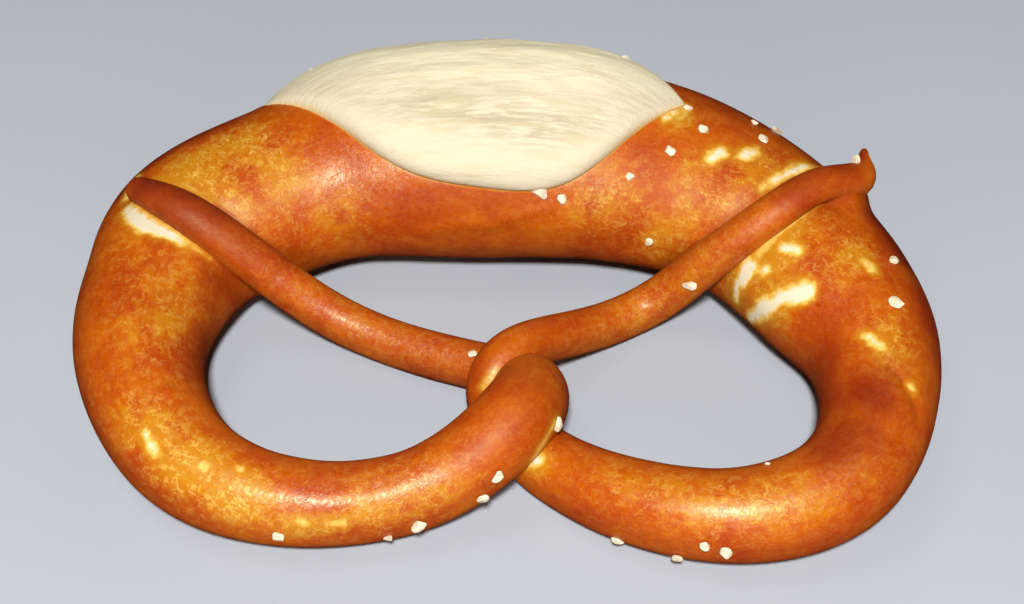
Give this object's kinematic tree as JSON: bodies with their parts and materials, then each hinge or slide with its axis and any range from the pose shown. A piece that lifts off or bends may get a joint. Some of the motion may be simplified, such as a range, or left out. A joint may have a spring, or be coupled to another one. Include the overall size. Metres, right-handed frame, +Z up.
{
  "type": "soft pretzel",
  "caption": "Soft lye pretzel: one rope of dough with a thick belly split open along its top and thin arms twisted once and laid back over the shoulders, with coarse salt.",
  "frame": {"origin": "bottom centre of the bounding box, on the flat underside", "axes": "+X across the pretzel's width, to the right as the knot faces the viewer; +Y from the knot to the belly; +Z up from the underside"},
  "size_m": [0.1662, 0.117, 0.0394],
  "materials": {
    "crust": "browned lye crust, satin sheen, golden and pale where the dough stretched",
    "crumb": "matt cream bread crumb",
    "salt": "matt white coarse salt"
  },
  "bodies": {
    "root": {"pretzel": "crust"}
  },
  "joints": []
}
